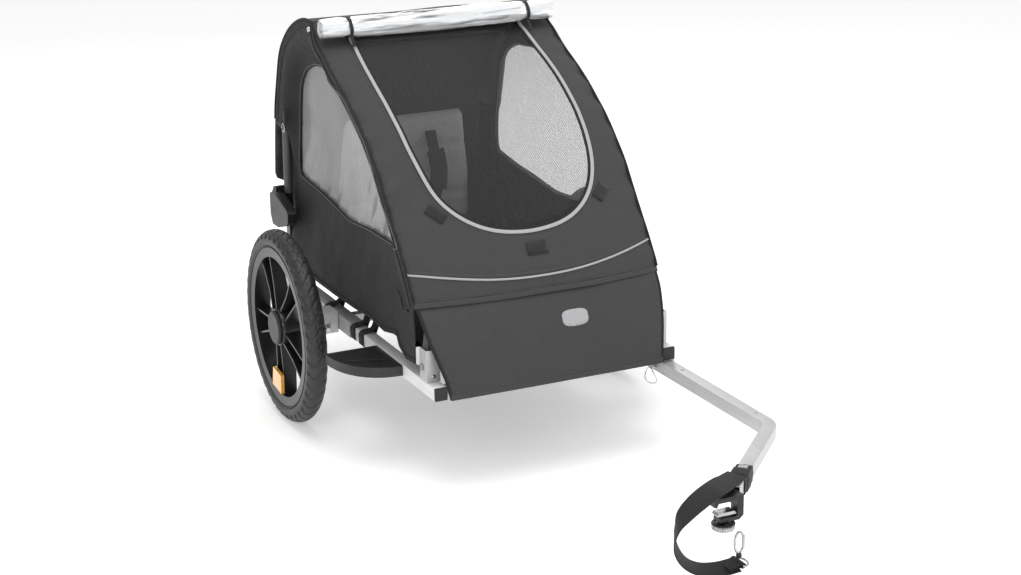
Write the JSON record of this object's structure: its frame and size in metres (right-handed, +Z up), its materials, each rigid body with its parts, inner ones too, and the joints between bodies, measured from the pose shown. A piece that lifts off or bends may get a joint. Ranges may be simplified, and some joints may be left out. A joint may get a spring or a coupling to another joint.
{
  "type": "child bicycle trailer",
  "caption": "Folding child bicycle trailer with a fabric cabin, mesh front window, clear side windows, spoked wheels, side tow arm with hitch, safety strap and foot guards.",
  "frame": {"origin": "on the floor, below the middle of the bounding box without the safety strap", "axes": "+Z up, -Y the direction of travel, +X the trailer's left side, where the tow arm is"},
  "size_m": [0.785, 1.4974, 0.8108],
  "materials": {
    "silver_tube": "satin silver",
    "zinc": "zinc plated",
    "hoop_tube": "dull grey tube",
    "black_plastic": "fine grained",
    "tyre": "moulded tread",
    "wheel_plastic": "satin black",
    "front_fabric": "coated polyester",
    "side_fabric": "coated polyester",
    "mesh": "open mesh",
    "seat_fabric": "padded",
    "floor": "coated fabric over a stiff board",
    "vinyl": "clear soft vinyl",
    "webbing": "woven webbing",
    "reflector": "amber, prismatic"
  },
  "bodies": {
    "frame": {"front_rail_right": "silver_tube", "front_rail_left": "silver_tube", "rear_rail_right": "silver_tube", "rear_rail_left": "silver_tube", "rail_cap_right": "black_plastic", "rail_cap_left": "black_plastic", "front_cross_tube": "silver_tube", "axle_cross_tube": "silver_tube", "rear_cross_tube": "silver_tube", "fender_plate_right": "black_plastic", "fender_plate_left": "black_plastic", "front_socket_right": "silver_tube", "front_socket_left": "silver_tube", "socket_bolt_right": "zinc", "socket_bolt_left": "zinc", "rear_post_right": "hoop_tube", "rear_post_left": "hoop_tube", "lock_bracket_right": "black_plastic", "lock_bracket_left": "black_plastic", "floor_panel": "floor", "seat": "seat_fabric", "front_cover": "front_fabric", "mesh_window": "mesh", "rear_panel": "side_fabric", "lower_front_panel": "front_fabric", "side_panel_right": "side_fabric", "side_panel_left": "side_fabric", "side_window_right": "vinyl", "side_window_left": "vinyl", "rain_cover_roll": "vinyl", "axle_receiver_right": "silver_tube", "axle_receiver_left": "silver_tube", "wheel_axle_right": "zinc", "wheel_axle_left": "zinc", "arm_bracket": "silver_tube", "arm_pivot_bolt": "zinc"},
    "front_hoop_body": {"front_hoop": "hoop_tube", "top_rivet_right": "zinc", "top_rivet_left": "zinc"},
    "rear_hoop_body": {"rear_hoop": "hoop_tube"},
    "tow_arm_body": {"tow_arm": "silver_tube", "safety_strap": "webbing", "strap_end_ring": "zinc", "snap_hook": "zinc"},
    "arm_lock_pin_body": {"arm_lock_pin": "zinc"},
    "hitch_body": {"hitch_clamp": "black_plastic"},
    "hitch_jaw_body": {"hitch_jaw": "zinc"},
    "hitch_knob_body": {"hitch_knob": "zinc"},
    "wheel_right_body": {"tyre_right": "tyre", "wheel_right": "wheel_plastic", "hub_cap_right": "black_plastic", "spoke_reflector_right": "reflector"},
    "release_pin_right_body": {"wheel_release_pin_right": "zinc"},
    "lock_lever_right_body": {"lock_lever_right": "black_plastic"},
    "wheel_left_body": {"tyre_left": "tyre", "wheel_left": "wheel_plastic", "hub_cap_left": "black_plastic", "spoke_reflector_left": "reflector"},
    "release_pin_left_body": {"wheel_release_pin_left": "zinc"},
    "lock_lever_left_body": {"lock_lever_left": "black_plastic"}
  },
  "joints": [
    {"name": "frame_fold", "type": "hinge", "parent": "frame", "child": "front_hoop_body", "pos_m": [0, -0.0663, 0.237], "axis": [1, 0, 0], "range_deg": [-33, 0], "deforming": ["front_cover", "mesh_window", "rear_panel", "lower_front_panel", "seat", "side_panel_right", "side_panel_left", "side_window_right", "side_window_left", "rain_cover_roll"]},
    {"name": "rear_hoop_fold", "type": "hinge", "parent": "front_hoop_body", "child": "rear_hoop_body", "pos_m": [0, 0.4587, 0.79], "axis": [1, 0, 0], "range_deg": [-90, 0]},
    {"name": "tow_arm_swing", "type": "hinge", "parent": "frame", "child": "tow_arm_body", "pos_m": [0.2425, 0.0037, 0.16695], "axis": [0, 0, 1], "range_deg": [-90, 0]},
    {"name": "arm_lock_pull", "type": "slide", "parent": "tow_arm_body", "child": "arm_lock_pin_body", "axis": [1, 0, 0], "range_m": [-0.012, 0]},
    {"name": "hitch_roll", "type": "hinge", "parent": "tow_arm_body", "child": "hitch_body", "pos_m": [0.03037, -0.69343, 0.16695], "axis": [-0.7071, -0.7071, 0], "range_deg": [-12, 12]},
    {"name": "hitch_jaw_slide", "type": "slide", "parent": "hitch_body", "child": "hitch_jaw_body", "axis": [0, 0, 1], "range_m": [-0.0015, 0.0015]},
    {"name": "hitch_knob_spin", "type": "hinge", "parent": "hitch_jaw_body", "child": "hitch_knob_body", "pos_m": [0.0005, -0.7143, 0.1165], "axis": [0, 0, 1], "range_deg": [-355, 355]},
    {"name": "wheel_spin_right", "type": "hinge", "parent": "frame", "child": "wheel_right_body", "pos_m": [-0.365, 0.3887, 0.2], "axis": [1, 0, 0], "continuous": true},
    {"name": "release_pin_pull_right", "type": "slide", "parent": "frame", "child": "release_pin_right_body", "axis": [0, -1, 0], "range_m": [0, 0.008], "stiffness_N_per_m": 400, "springref_m": -0.004},
    {"name": "lock_lever_tilt_right", "type": "hinge", "parent": "frame", "child": "lock_lever_right_body", "pos_m": [-0.255, 0.7062, 0.405], "axis": [1, 0, 0], "range_deg": [0, 30], "stiffness_Nm_per_rad": 0.4, "springref_deg": -8.59},
    {"name": "wheel_spin_left", "type": "hinge", "parent": "frame", "child": "wheel_left_body", "pos_m": [0.365, 0.3887, 0.2], "axis": [1, 0, 0], "continuous": true},
    {"name": "release_pin_pull_left", "type": "slide", "parent": "frame", "child": "release_pin_left_body", "axis": [0, -1, 0], "range_m": [0, 0.008], "stiffness_N_per_m": 400, "springref_m": -0.004},
    {"name": "lock_lever_tilt_left", "type": "hinge", "parent": "frame", "child": "lock_lever_left_body", "pos_m": [0.255, 0.7062, 0.405], "axis": [1, 0, 0], "range_deg": [0, 30], "stiffness_Nm_per_rad": 0.4, "springref_deg": -8.59}
  ],
  "couplings": [
    {"joint": "rear_hoop_fold", "follows": "frame_fold", "ratio": 2.727},
    {"joint": "hitch_jaw_slide", "follows": "hitch_knob_spin", "m_per_rad": 0.00023873}
  ]
}
